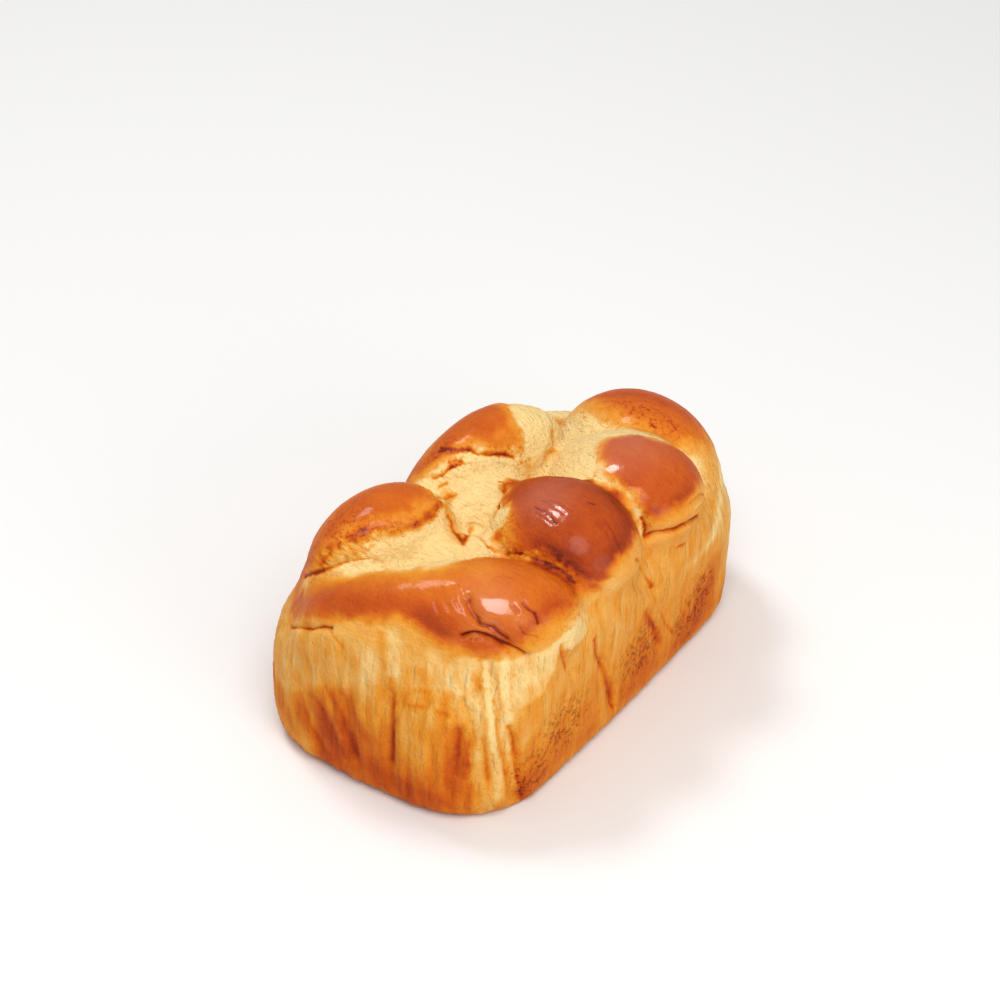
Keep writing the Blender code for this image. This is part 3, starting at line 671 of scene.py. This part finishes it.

# %% Brush strokes, in millimetres: a route, half width and how much more or less it baked; some paint shade
STROKES = {
    "near_rust_1": (((-19, -86, 35), (-15, -87, 27), (-12, -87, 20)), 2.4, 0.12),
    "near_rust_2": (((-11, -86, 39), (-8, -86, 32), (-5, -86, 24), (-1, -86, 16)), 3.4, 0.16),
    "near_rust_3": (((-6, -86, 41), (-4, -86, 37), (-1, -87, 33), (3, -87, 26)), 2.4, 0.14),
    "near_light_1": (((-23, -86, 27), (-18, -86, 17), (-11, -87, 12)), 2, -0.1),
    "near_light_2": (((-13, -86, 37), (-10, -87, 29), (-7, -87, 21)), 1.2, -0.1),
    "near_middle_rust": (((17, -81, 58), (19, -82, 51)), 2.6, 0.12),
    # Painted shade along the near middle groove.
    "near_middle_line": (((13, -83, 54), (14, -85, 39), (14, -85, 20)), 1.3, 0.2),
    "near_dash_1": (((21, -81, 52), (26, -80, 53)), 0.9, 0.14),
    "near_dash_2": (((20, -84, 47), (27, -82, 48)), 0.9, 0.16),
    "near_dash_3": (((30, -82, 48), (34, -81, 47)), 0.9, 0.18),
    "near_right_rust_1": (((31, -79, 52), (33, -82, 47)), 2.2, 0.09),
    "near_right_rust_2": (((35, -82, 41), (35, -83, 19)), 3, 0.08),
    "near_right_rust_3": (((38, -80, 43), (37, -81, 30)), 1.4, 0.14),
    "near_right_rust_4": (((42, -78, 41), (40, -80, 22)), 1.4, 0.14),
    "near_gold_low": (((23, -86, 34), (27, -85, 26)), 5.5, -0.1),
    "near_gold_mid": (((18, -85, 42), (19, -86, 31)), 4, -0.06),
    "near_base_1": (((7, -87, 14), (22, -86, 12), (35, -82, 9)), 3.5, 0.08),
    "near_left_gold": (((-41, -79, 10), (-32, -84, 9), (-23, -85, 6)), 4.5, -0.2),
    "near_pale_1": (((11, -80, 71), (14, -82, 58)), 3, -0.1),
    "near_pale_2": (((25, -76, 66), (28, -78, 56)), 3, -0.1),
    "near_pale_3": (((39, -75, 53), (45, -76, 42)), 2.4, -0.1),
    "near_pale_4": (((6, -84, 59), (2, -85, 48)), 4, -0.06),
    "near_olive": (((8, -81, 70), (10, -83, 58)), 1.6, 0.14),
    "near_tan_left": (((-24, -86, 55), (-19, -86, 45)), 5, 0.08),
    "near_tan_left_2": (((-9, -87, 59), (-2, -86, 57)), 4, 0.04),
    "near_pale_left": (((-33, -83, 26), (-24, -85, 30)), 3.5, -0.12),
    "near_tan_mid": (((31, -73, 65), (37, -77, 51)), 1.6, 0.1),
    "near_tan_mid_2": (((22, -79, 59), (26, -81, 51)), 1.8, 0.12),
    "rib_1": (((40, -67, 67), (46, -73, 49), (48, -73, 31), (48, -72, 11)), 1.7, -0.12),
    "rib_2": (((44, -63, 67), (46, -66, 54), (49, -68, 37), (50, -64, 13)), 1.9, -0.12),
    # The rib lines paint shade in the grooves beside the ribs.
    "rib_line_1": (((39, -71, 57), (46, -76, 43), (46, -75, 20)), 1.1, 0.16),
    "rib_line_2": (((45, -70, 52), (48, -72, 39), (49, -68, 19)), 1.1, 0.18),
    "rib_line_3": (((38, -68, 65), (41, -71, 56), (45, -74, 50)), 0.9, 0.12),
    "rib_line_4": (((43, -64, 65), (45, -67, 55), (48, -70, 45)), 0.9, 0.12),
    # Painted shade along the corner fold.
    "corner_edge": (((50, -68, 42), (50, -66, 29), (51, -63, 12), (50, -61, 2)), 1.6, 0.12),
    "band_a": (((-37, -70, 54), (-15, -78, 72), (-2, -77, 77), (10, -74, 79), (19, -72, 78),
        (25, -72, 76)), 5, 0.11),
    "band_a_low": (((23, -74, 73), (30, -73, 69), (40, -67, 67)), 4.5, 0.06),
    "gold_a": (((-33, -70, 63), (-25, -70, 71), (-18, -67, 74), (-8, -63, 78), (3, -59, 82),
        (13, -55, 84)), 4.2, -0.23),
    "left_end_a": (((-47, -65, 44), (-36, -73, 51)), 4.5, -0.08),
    "red_a": (((17, -73, 78), (21, -73, 77)), 4, 0.06),
    "orange_a_right": (((51, -44, 78), (51, -50, 75), (49, -55, 71), (46, -59, 69)), 4.6, 0.13),
    "rim_a": (((51, -32, 75), (54, -36, 74), (54, -42, 75)), 2.6, 0.14),
    "edge_b": (((-7, -26, 83), (-6, -33, 84), (-6, -39, 84), (-7, -42, 83), (-9, -46, 84),
        (-11, -49, 84), (-14, -51, 85), (-17, -54, 85), (-20, -58, 83), (-22, -60, 82),
        (-25, -63, 80), (-27, -65, 77), (-28, -67, 74)), 1.5, 0.3),
    "edge_b_low": (((-5, -32, 83), (-5, -39, 83), (-8, -45, 83), (-11, -51, 83), (-15, -55, 83),
        (-18, -58, 82)), 1.2, 0.22),
    "tan_b": (((-31, -68, 72), (-24, -66, 76), (-18, -62, 80)), 5, 0.28),
    "outer_b": (((-36, -61, 74), (-34, -53, 81), (-33, -42, 84), (-28, -35, 86)), 3.2, -0.12),
    # Painted shade in the crack along the left edge of crown C.
    "edge_c_left": (((2, -4, 81), (4, -6, 81), (6, -12, 81), (7, -15, 80),
        (7, -18, 79)), 1.2, 0.3),
    "gold_c": (((12, -22, 79), (18, -25, 80), (23, -27, 80), (30, -28, 81)), 2.4, -0.1),
    "red_c": (((35, -30, 80), (41, -29, 80), (48, -28, 76), (51, -26, 73)), 3.4, 0.26),
    "dark_c_right": (((38, 6, 87), (50, 0, 84), (54, -8, 82), (54, -16, 80)), 5, 0.12),
    "pink_c": (((52, 3, 80), (57, -6, 79), (58, -14, 77), (56, -21, 74)), 3.4, -0.04),
    "top_c": (((3, -2, 80), (3, 11, 74), (22, 2, 88), (29, 10, 85)), 1.6, 0.1),
    "gold_c_right": (((32, 10, 85), (39, 11, 85), (44, 11, 83), (47, 10, 80)), 2.4, -0.1),
    "rim_d": (((-22, -16, 79), (-21, -13, 82), (-19, -10, 84), (-17, -7, 85), (-13, -4, 86),
        (-8, 0, 85), (-4, 5, 83), (-1, 9, 81)), 1.6, -0.1),
    # The two crack strokes paint shade in the cracks along crown D's rim.
    "crack_d": (((-22, -6, 85), (-17, -5, 87), (-14, -2, 87), (-10, -1, 86), (-7, 2, 85),
        (-4, 6, 84), (-2, 9, 82)), 0.9, 0.4),
    "crack_d_low": (((-20, -15, 81), (-17, -13, 82), (-16, -11, 83), (-14, -8, 84),
        (-13, -6, 85)), 0.9, 0.34),
    "outer_d": (((-28, -7, 81), (-29, 3, 82), (-27, 9, 86), (-24, 18, 87)), 2.4, -0.12),
    "rim_e": (((22, 27, 88), (24, 35, 88), (30, 41, 87), (36, 45, 84), (39, 53, 76),
        (45, 54, 71)), 2, -0.06),
    "rim_e_left": (((23, 25, 88), (25, 18, 87), (31, 13, 86), (36, 12, 85)), 2.2, -0.1),
    "foot_e": (((47, 13, 83), (51, 12, 78), (55, 16, 78), (57, 25, 79), (56, 35, 78)), 2.6, 0.08),
    "ochre_e": (((49, 41, 82), (54, 35, 81), (56, 27, 81)), 3, 0.04),
    "pale_line_e_1": (((49, 54, 65), (57, 34, 77), (58, 27, 78)), 1, -0.1),
    "pale_line_e_2": (((50, 56, 61), (57, 39, 72), (59, 29, 74)), 1, -0.1),
    "slope_f": (((-3, 47, 71), (6, 46, 76), (14, 48, 80), (23, 50, 81), (30, 52, 80),
        (38, 56, 77)), 3.4, -0.05),
    "edge_f": (((40, 67, 73), (43, 67, 68), (44, 69, 61)), 2.8, -0.12),
    "top_f": (((-7, 59, 73), (2, 60, 79), (13, 63, 82), (23, 65, 81), (32, 67, 78)), 2.6, 0.07),
    # Painted shade deep in the notches between the crowns.
    "left_notch_shade": (((-7, -26, 83), (-9, -25, 83), (-13, -16, 78), (-10, -17, 78),
        (-6, -25, 81)), 1.6, 0.24),
    "notch_shade": (((-3, -26, 80), (-1, -27, 77), (5, -33, 79)), 3.4, 0.26),
    "far_notch_shade": (((0, 31, 80), (2, 29, 78), (4, 21, 76)), 1.4, 0.18),
    "cleft_right_rim": (((48, 11, 78), (49, 11, 75), (50, 9, 72)), 2.2, -0.3),
    "third_low_edge": (((54, 16, 79), (55, 18, 79), (57, 23, 79)), 2.4, 0.1),
    "near_left_light": (((-31, -85, 22), (-27, -85, 16), (-22, -86, 10)), 3, -0.12),
    "notch_far_pale": (((-33, 71, 48), (-27, 75, 50), (-20, 76, 54)), 5, -0.3),
    "side_base_1": (((53, -60, 10), (54, -44, 11), (54, -22, 9), (54, 1, 9)), 2.6, 0.03),
    "side_base_2": (((54, 5, 9), (54, 26, 9), (54, 49, 10), (52, 64, 11)), 3, 0.04),
    "side_rust_1": (((53, -63, 38), (53, -60, 18)), 4, -0.02),
    "side_corner": (((52, -61, 30), (52, -60, 18), (51, -59, 4)), 2.2, 0.08),
    "side_rust_3": (((54, -4, 13), (55, 11, 16)), 5, 0.06),
    "side_rust_4": (((54, 34, 8), (54, 46, 19), (54, 51, 25)), 5, 0.06),
    "side_pale_1": (((52, -27, 69), (57, -40, 70), (56, -48, 65)), 3.5, -0.1),
    "side_pale_2": (((57, 31, 46), (56, 41, 46)), 3, -0.1),
    "side_pale_3": (((56, 47, 47), (52, 59, 55), (47, 66, 61)), 3.4, -0.2),
    "side_pale_4": (((56, -19, 60), (56, -11, 44)), 3, -0.04),
    # The side lines paint shade in the grooves of the right side.
    "side_line_1": (MARKS["right_groove"][0], 1.2, 0.2),
    "side_line_2": (((56, 4, 43), (54, 12, 31), (54, 17, 20)), 1.4, 0.22),
    "side_line_3": (MARKS["right_near_groove"][0], 1.2, 0.2),
}
print("strokes:", len(STROKES))

# %% Zones: the two ends and the open seams on top
# Each pair of numbers says where a zone begins and where it is full.
BASE_RIM = 0.5
TURNED_TO_END = (0.3, 0.7)
x, y, z = places.T
rise = normals[:, 2]
off_base = z > BASE_RIM
near_side = smooth_step(*TURNED_TO_END, -normals[:, 1]) * smooth_step(80, 70, z) * off_base
far_side = smooth_step(*TURNED_TO_END, normals[:, 1]) * smooth_step(74, 62, z) * off_base
top_seam = smooth_step(0.05, 0.45, rise) * smooth_step(58, 68, z)
top_seam *= smooth_step(52, 44, x) * smooth_step(-34, -26, x)
top_seam *= smooth_step(-72, -64, y) * smooth_step(60, 50, y)
print("share of points on the open seams:", (top_seam > 0.5).mean().round(2))

# %% Zones: the pale bands above the tin's rim, and the near right corner
NEAR_BAND_X = (-40, -32, -24, -16, -6, 0, 6, 13, 19, 28, 33, 38, 42, 45)
NEAR_BAND_Z = (24, 28, 32, 38, 42, 47, 50, 51, 50, 52, 46, 43, 38, 20)
FAR_BAND_Z = 44
near_edge = np.interp(x, NEAR_BAND_X, NEAR_BAND_Z)
near_pale = near_side * smooth_step(-2.5, 2.5, z - near_edge + 2.5 * ragged)
far_pale = far_side * smooth_step(-4, 4, z - FAR_BAND_Z - 0.1 * x + 5 * ragged + 5 * middle)
CORNER = (
    (0.7, -0.7, 0.15),
    ((48, -24, 66), (50, -25, 56), (53, -44, 60), (53, -52, 49), (51, -62, 47), (50, -67, 40),
     (50, -66, 26), (51, -64, -3), (44, -78, -3), (42, -79, 21), (41, -78, 40), (36, -74, 50),
     (30, -77, 58), (33, -72, 66), (46, -57, 63), (52, -40, 68)),
)
corner_in = stencil(places, normals, *CORNER, above=-1.0)
corner = smooth_step(-0.9, 0.9, corner_in + 1.2 * ragged)
print("share of points on the corner:", (corner > 0.5).mean().round(3))

# %% Toasting of the zones
SIDE_BAKE, PALE_BAKE, CORNER_BAKE, SEAM_BAKE = 0.36, 0.28, 0.25, 0.06
bake = SIDE_BAKE + 0.10 * smooth_step(46, 4, z) + 0.03 * middle
bake = bake + near_side * 0.10 * smooth_step(45, 30, z)
bake += (PALE_BAKE - bake) * 0.85 * np.maximum(near_pale, far_pale)
corner_bake = CORNER_BAKE + 0.12 * smooth_step(45, 5, z) - 0.10 * smooth_step(45, 58, z)
bake += (corner_bake - bake) * corner
bake += (SEAM_BAKE + 0.03 * wide_fibres - bake) * top_seam
print("zones toasted from", bake.min().round(2), "to", bake.max().round(2))

# %% Toasting of the crowns
RIM_BAKE = 0.40
CRUMBLY_EDGE = 1.6
crown = np.zeros(len(places))
edge_band = np.zeros(len(places))
# Low on both sides the crowns fade out slowly.
fading = 1 + 1.6 * smooth_step(46, 56, x) + 4.0 * smooth_step(-38, -52, x)
for facing, outline, softness, rim_width, toasting in CROWNS.values():
    inside = stencil(places, normals, facing, outline)
    inside = inside + 1.3 * ragged + 0.5 * fine_ragged
    soft = softness * fading
    cover = smooth_step(-soft, soft, inside)
    tone = RIM_BAKE + (toasting - RIM_BAKE) * smooth_step(0, rim_width, inside + 1.5 * middle)
    bake += (tone + 0.03 * broad - bake) * cover
    crown = np.maximum(crown, cover)
    edge_band = np.maximum(edge_band, np.exp(-(inside / CRUMBLY_EDGE) ** 2))
print("share of points on the crowns:", (crown > 0.5).mean().round(2))

# %% Dabs, strokes and the underside
STROKE_WOBBLE = 0.7  # how far noise bends a stroke, in millimetres
UNDERSIDE_BAKE = 0.55
for centre, reach, amount in DABS:
    bake += amount * patch(centre, reach)
for route, half_width, amount in STROKES.values():
    bake += amount * line(places + wobble * STROKE_WOBBLE, onto_skin(skin, route), half_width)
underside = (z < BASE_RIM) & (rise < -0.5)
bake = np.where(underside, UNDERSIDE_BAKE + 0.06 * middle, bake)
print("toasted from", bake.min().round(2), "to", bake.max().round(2))

# %% [markdown]
# ## Relief of the crust
# Shapes that show have to be in the mesh, so the folds, cracks, ribs and wrinkles move its
# points along their normals. Most of it goes inwards, because the loaf has to keep the outer
# size of the solid, and at the end the points are kept inside the solid's box.

# %% Press in the folds and marks, and paint shade inside the marks
MARK_WOBBLE = 0.3  # how far noise bends a mark, in millimetres
# The dark line of a mark is painted shade inside its groove.
DARK_SHARE = 0.75  # the dark line of a mark is this much narrower than its groove
inward = np.zeros(len(places))
dark = np.zeros(len(places))
for route, half_width, depth in folds:
    inward += depth * line(places, route, half_width)
for route, half_width, depth, darkness in marks:
    away = route_distance(places + wobble * MARK_WOBBLE, route) / half_width
    inward += depth * np.exp(-(away**2))
    # Painted shade inside each groove or crack, darkest on its middle line.
    shade = darkness * np.exp(-((away / DARK_SHARE) ** 2)) * (0.85 + 0.5 * middle)
    dark = np.maximum(dark, shade)
print("deepest mark:", inward.max().round(2), "mm")

# %% Fibres and waves in the crust, in millimetres
WIDE_FIBRE, FINE_FIBRE = 0.38, 0.30
NEAR_WAVE, NEAR_ROUGH = 0.45, 0.16
SIDE_WAVE = 0.30
WAVE, ROUGH = 0.10, 0.05
SEAM_SINKS, CRUMBLE = 0.55, 0.35
SIDES_OUT, NEAR_OUT = 0.6, 0.3  # the sides move out again by about what the relief takes
FADES_IN_BY = 3.0  # the height where the relief is full, so that the base rim stays clean
on_sides = (1 - smooth_step(60, 72, z)) * off_base
streak = np.clip(0.9 * on_sides + 0.3 * corner - 0.35 * near_side, 0, 1)
streak = np.maximum(streak, 0.55 * top_seam * (1 - crown))
inward += streak * (WIDE_FIBRE * (1 + wide_fibres) + FINE_FIBRE * (1 + fibres)) * off_base
inward += near_side * (NEAR_WAVE * (1 + wide_fibres) + NEAR_ROUGH * (1 + fine_ragged))
inward += SIDE_WAVE * (1 + broad) * on_sides
inward += WAVE * (1 + middle) + ROUGH * (1 + fine_ragged)
inward += SEAM_SINKS * top_seam * (1 - crown)
inward += CRUMBLE * edge_band * np.clip(fine_ragged + 0.3, 0, 1) * top_seam
inward -= SIDES_OUT * on_sides + NEAR_OUT * near_side * on_sides
inward *= smooth_step(0.0, FADES_IN_BY, z)
bake += (0.03 + 0.05 * near_side) * wide_fibres * on_sides * (1 + streak)
print("relief on average:", inward.mean().round(2), "mm")

# %% Crumbs, gloss and pores: soft patches with a centre and a reach
CRUMB_PATCHES = (
    ((-20, -57, 83), (16, 10, 6)),
    ((52, -38, 71), (7, 8, 6)),
    ((15, -21, 82), (7, 7, 5)),
    ((26, 54, 82), (22, 6, 6)),
    ((-16, -8, 84), (12, 10, 5)),
)
GLOSS_PATCHES = (
    ((34, -57, 81), (11, 10, 9)),
    ((26, -13, 90), (11, 10, 8)),
    ((34, 26, 90), (14, 12, 8)),
)
PORE_PATCHES = (
    ((55, -42, 25), (6, 13, 13)),
    ((55, 3, 24), (6, 13, 13)),
    ((54, 37, 18), (7, 12, 12)),
    ((54, 46, 24), (7, 9, 12)),
    ((53, -58, 14), (7, 9, 12)),
    ((-55, -30, 22), (6, 16, 14)),
    ((-55, 20, 20), (6, 16, 14)),
    ((-54, 48, 26), (6, 10, 14)),
    ((12, 87, 18), (18, 6, 12)),
)
CROWN_GLOSS = 0.12
PIT_DEPTH = 0.50


def strongest(patches):
    return np.max([patch(*sizes) for sizes in patches], axis=0)


speckle = np.clip(edge_band * top_seam * smooth_step(-0.3, 0.3, middle), 0, 1)
speckle = np.maximum(speckle, strongest(CRUMB_PATCHES))
gloss = crown * np.maximum(CROWN_GLOSS, strongest(GLOSS_PATCHES))
pores = strongest(PORE_PATCHES)
pits = smooth_step(0.0, 0.6, bumps(places * (1.0, 1.0, 0.8), 3.2, 7, 3)) * pores
inward += PIT_DEPTH * pits
bake += 0.05 * pores + 0.07 * pits
print("share of points in pits:", (pits > 0.5).mean().round(3))

# %% Move the points and keep them inside the solid's box
ON_FLOOR = 0.02
moved = (places - normals * inward[:, None]) * MM
on_floor = z < ON_FLOOR
moved[on_floor, 2] = 0.0
moved = np.clip(moved, cad_low, cad_high)
loaf.data.vertices.foreach_set("co", moved.ravel())
loaf.data.update()
print("points on the floor:", on_floor.sum())

# %% Keep the numbers on the mesh for the finish
NUMBERS = {
    "bake": bake, "dark": dark, "streak": streak, "speckle": speckle,
    "pores": pores, "on_top": on_top, "gloss": gloss,
}
for name, values in NUMBERS.items():
    layer = loaf.data.attributes.new(name, "FLOAT", "POINT")
    layer.data.foreach_set("value", values)
loaf.data.shade_smooth()
print("numbers kept:", ", ".join(NUMBERS), "after", round(time.time() - started, 1), "s")

# %% [markdown]
# ## The finish
# Bread crust isn't one colour. The toasting number, with its painted shade, runs through a ramp
# from cream over gold and orange to chestnut, with fine noise on top, and the marks' painted
# shade darkens the grooves and cracks. Egg wash makes the crowns glossy, so they get less
# roughness and a thin coat, while seams and sides stay matte.

# %% Shader expressions
class Wire:
    """One output of a node. Sums and products of wires become Math nodes."""

    def __init__(self, tree, socket):
        self.tree, self.socket = tree, socket

    def math(self, operation, other, swapped=False):
        node = self.tree.nodes.new("ShaderNodeMath")
        node.operation = operation
        first, second = (other, self) if swapped else (self, other)
        for place, value in zip(node.inputs, (first, second)):
            connect(self.tree, place, value)
        return Wire(self.tree, node.outputs[0])

    def __add__(self, other):
        return self.math("ADD", other)

    __radd__ = __add__

    def __sub__(self, other):
        return self.math("SUBTRACT", other)

    def __rsub__(self, other):
        return self.math("SUBTRACT", other, swapped=True)

    def __mul__(self, other):
        return self.math("MULTIPLY", other)

    __rmul__ = __mul__


def connect(tree, place, value):
    if isinstance(value, Wire):
        tree.links.new(value.socket, place)
    else:
        place.default_value = value


print("a wire knows +, - and *")


# %% A material and its nodes
class Finish:
    """A node material. Its node method makes any node that isn't plain maths."""

    def __init__(self, name):
        self.material = bpy.data.materials.new(name)
        self.material.use_nodes = True
        self.tree = self.material.node_tree
        self.shader = self.tree.nodes["Principled BSDF"]

    def node(self, kind, settings=None, sockets=None, output=0):
        node = self.tree.nodes.new(kind)
        for key, value in (settings or {}).items():
            if key == "stops":
                self.set_stops(node.color_ramp, value)
            else:
                setattr(node, key, value)
        for key, value in (sockets or {}).items():
            connect(self.tree, node.inputs[key], value)
        return Wire(self.tree, node.outputs[output])

    def set_stops(self, ramp, stops):
        while len(ramp.elements) < len(stops):
            ramp.elements.new(0.5)
        for element, (place, colour) in zip(ramp.elements, stops):
            element.position = place
            element.color = (*colour, 1.0)

    def number(self, name):
        return self.node("ShaderNodeAttribute", {"attribute_name": name}, output="Fac")

    def noise(self, vector, scale, detail=2.0, roughness=0.5):
        return self.node(
            "ShaderNodeTexNoise",
            {"noise_dimensions": "3D"},
            {"Vector": vector, "Scale": scale, "Detail": detail, "Roughness": roughness},
            output="Fac",
        )

    def spread(self, value, low, high, to_low=0.0, to_high=1.0):
        return self.node(
            "ShaderNodeMapRange",
            {"interpolation_type": "SMOOTHSTEP"},
            {"Value": value, "From Min": low, "From Max": high,
             "To Min": to_low, "To Max": to_high},
        )

    def blend(self, factor, first, second):
        """A mix of two colours. Its sockets for colours are the ones numbered 6, 7 and 2."""
        return self.node(
            "ShaderNodeMix",
            {"data_type": "RGBA"},
            {"Factor": factor, 6: first, 7: second},
            output=2,
        )


def linear(red, green, blue):
    """A colour given from 0 to 255 as the eye sees it, as the shader wants it."""
    return tuple(round((value / 255) ** 2.2, 4) for value in (red, green, blue))


# %% Colours of the crust, from cream dough to almost burnt
CRUST_STOPS = (
    (0.00, linear(246, 214, 146)),
    (0.14, linear(240, 200, 130)),
    (0.28, linear(230, 166, 80)),
    (0.42, linear(224, 140, 40)),
    (0.58, linear(208, 106, 20)),
    (0.72, linear(190, 80, 14)),
    (0.86, linear(160, 58, 8)),
    (1.00, linear(112, 34, 4)),
)
# The dark brown of the painted shade deepest in the grooves and cracks.
CREASE_SHADE_COLOUR = (*linear(112, 48, 10), 1.0)
print("colour stops:", len(CRUST_STOPS))

# %% Numbers and patterns that the crust reads
crust = Finish("brioche_crust")
object_place = crust.node("ShaderNodeTexCoord", output="Object")
side_place = crust.node(
    "ShaderNodeMapping", None, {"Vector": object_place, "Scale": (1.0, 1.0, STRETCH)}
)
top_place = crust.node(
    "ShaderNodeMapping",
    None,
    {"Vector": object_place, "Rotation": (0.0, 0.0, -TOP_TURN), "Scale": (STRETCH, 1.0, 1.0)},
)
toast_and_shade_read, crease_shade, streaked, speckled, pored, topside, glossy = map(crust.number, NUMBERS)

mottle = crust.noise(object_place, 160.0, 4.0, 0.6)
fine = crust.noise(object_place, 900.0, 3.0, 0.6)
side_strokes = crust.noise(side_place, 420.0, 3.0, 0.5)
top_strokes = crust.noise(top_place, 650.0, 3.0, 0.6)
strokes = side_strokes + (top_strokes - side_strokes) * topside
crumbs = crust.noise(object_place, 620.0, 2.0, 0.7)
pore_noise = crust.noise(object_place, 620.0, 1.0, 0.5)
pore_edge = crust.spread(pored + (mottle - 0.5) * 0.9, 0.1, 0.8)
pore_dots = crust.spread(pore_noise, 0.52, 0.70) * pore_edge
crease_shade_noise = crust.noise(object_place, 500.0, 2.0)
print("pattern nodes:", len(crust.tree.nodes))

# %% Colour of the crust
MOTTLE_TONE, FINE_TONE = 0.16, 0.06
STREAK_TONE, STROKE_TONE = 0.22, 0.08
CREASE_SHADE_TONE, CRUMB_TONE, PORE_TONE = 0.5, 0.22, 0.13
toast_and_shade_tone = toast_and_shade_read + (mottle - 0.5) * MOTTLE_TONE + (fine - 0.5) * FINE_TONE
toast_and_shade_tone = toast_and_shade_tone + (strokes - 0.5) * (streaked * STREAK_TONE + STROKE_TONE)
# Painted shade in the grooves and cracks moves the colour towards brown.
toast_and_shade_tone = toast_and_shade_tone + crust.spread(crease_shade, 0.0, 0.7) * CREASE_SHADE_TONE
toast_and_shade_tone = toast_and_shade_tone + crust.spread(crumbs, 0.5, 0.62) * speckled * CRUMB_TONE
toast_and_shade_tone = toast_and_shade_tone + pore_dots * PORE_TONE
colour = crust.node("ShaderNodeValToRGB", {"stops": CRUST_STOPS}, {"Fac": toast_and_shade_tone})
# The darkest painted shade in the cracks blends into a dark brown.
in_crease_shade = crust.spread(crease_shade * (0.7 + crease_shade_noise * 0.6), 0.4, 1.0, 0.0, 0.8)
colour = crust.blend(in_crease_shade, colour, CREASE_SHADE_COLOUR)
tree, shader = crust.tree, crust.shader
connect(tree, shader.inputs["Base Color"], colour)
print("colour nodes:", len(tree.nodes))

# %% Gloss and fine relief of the crust
MATTE_ROUGHNESS, GLOSS_DROP, ROUGHNESS_NOISE = 0.66, 0.32, 0.16
FINE_BUMP_DISTANCE = 0.0020
roughness = MATTE_ROUGHNESS - glossy * GLOSS_DROP + (fine - 0.5) * ROUGHNESS_NOISE
connect(tree, shader.inputs["Roughness"], roughness)
connect(tree, shader.inputs["Coat Weight"], glossy * 0.9)
shader.inputs["Coat Roughness"].default_value = 0.15
shader.inputs["Coat IOR"].default_value = 1.8
shader.inputs["Specular IOR Level"].default_value = 0.14
matte = 1.0 - glossy * 0.6
relief = strokes * (streaked * 0.9 + 0.3) + mottle * 0.35
relief = relief + fine * matte * 0.35 - pore_dots * 0.5
bump = crust.node(
    "ShaderNodeBump",
    None,
    {"Strength": 1.0, "Distance": FINE_BUMP_DISTANCE, "Height": relief},
    output="Normal",
)
connect(tree, shader.inputs["Normal"], bump)
loaf.data.materials.clear()
loaf.data.materials.append(crust.material)
print("all crust nodes:", len(tree.nodes))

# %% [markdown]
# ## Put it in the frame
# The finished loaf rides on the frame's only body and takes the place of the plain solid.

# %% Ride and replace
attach(loaf, "root")
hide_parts("brioche")
print("rides on the body root:", loaf.name)

# %% [markdown]
# ## Floor, light and camera
# A plain pale floor and soft light from large panels show the crust without hard shadows. The
# panel above and to the left makes the white highlights on the crowns, and the two others
# light the near end and the right side.

# %% Floor
FLOOR_SIZE = 6.0
PALE = (0.86, 0.855, 0.84, 1.0)
floor_shape = bmesh.new()
bmesh.ops.create_grid(floor_shape, x_segments=1, y_segments=1, size=FLOOR_SIZE / 2)
floor_mesh = bpy.data.meshes.new("floor")
floor_shape.to_mesh(floor_mesh)
floor_shape.free()
floor = bpy.data.objects.new("floor", floor_mesh)
bpy.context.scene.collection.objects.link(floor)
paper = Finish("pale_paper")
paper.shader.inputs["Base Color"].default_value = PALE
paper.shader.inputs["Roughness"].default_value = 0.9
floor_mesh.materials.append(paper.material)
print("floor:", FLOOR_SIZE, "m")

# %% Light
TARGET = Vector((0.0, 0.0, 0.05))
ROOM_LIGHT = 0.50


def panel(name, direction, distance, size, power):
    """A round soft light that looks at the loaf, in metres and watts."""
    light = bpy.data.lights.new(name, "AREA")
    light.shape = "DISK"
    light.size = size
    light.energy = power
    lamp = bpy.data.objects.new(name, light)
    direction = Vector(direction).normalized()
    lamp.location = TARGET + direction * distance
    lamp.rotation_mode = "QUATERNION"
    lamp.rotation_quaternion = direction.to_track_quat("Z", "Y")
    bpy.context.scene.collection.objects.link(lamp)


panel("key_panel", (-0.42, 0.05, 0.88), distance=1.1, size=0.30, power=4.0)
panel("near_panel", (0.36, -0.37, 0.85), distance=1.1, size=0.62, power=5.6)
panel("side_panel", (0.95, -0.25, 0.35), distance=1.4, size=0.9, power=5.0)
world = bpy.data.worlds.new("studio")
world.use_nodes = True
background = world.node_tree.nodes["Background"]
background.inputs["Color"].default_value = (1.0, 1.0, 1.0, 1.0)
background.inputs["Strength"].default_value = ROOM_LIGHT
bpy.context.scene.world = world
print("lights:", len(bpy.data.lights))

# %% Camera
AZIMUTH, ELEVATION = math.radians(35.0), math.radians(38.8)
DISTANCE = 1.3119
LENS, SENSOR = 126.0, 36.0
LOOKED_AT = Vector((-0.0507, 0.0700, 0.0))
back = Vector((
    math.sin(AZIMUTH) * math.cos(ELEVATION),
    -math.cos(AZIMUTH) * math.cos(ELEVATION),
    math.sin(ELEVATION),
))
view = bpy.data.cameras.new("view")
view.sensor_width = SENSOR
view.lens = LENS
camera = bpy.data.objects.new("view", view)
camera.location = LOOKED_AT + back * DISTANCE
camera.rotation_mode = "QUATERNION"
camera.rotation_quaternion = (-back).to_track_quat("-Z", "Y")
bpy.context.scene.collection.objects.link(camera)
bpy.context.scene.camera = camera
bpy.context.scene.view_settings.view_transform = "Standard"
print("camera at", [round(value, 3) for value in camera.location])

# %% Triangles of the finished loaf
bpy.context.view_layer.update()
print("triangles:", len(loaf.data.polygons), "in", round(time.time() - started, 1), "s")
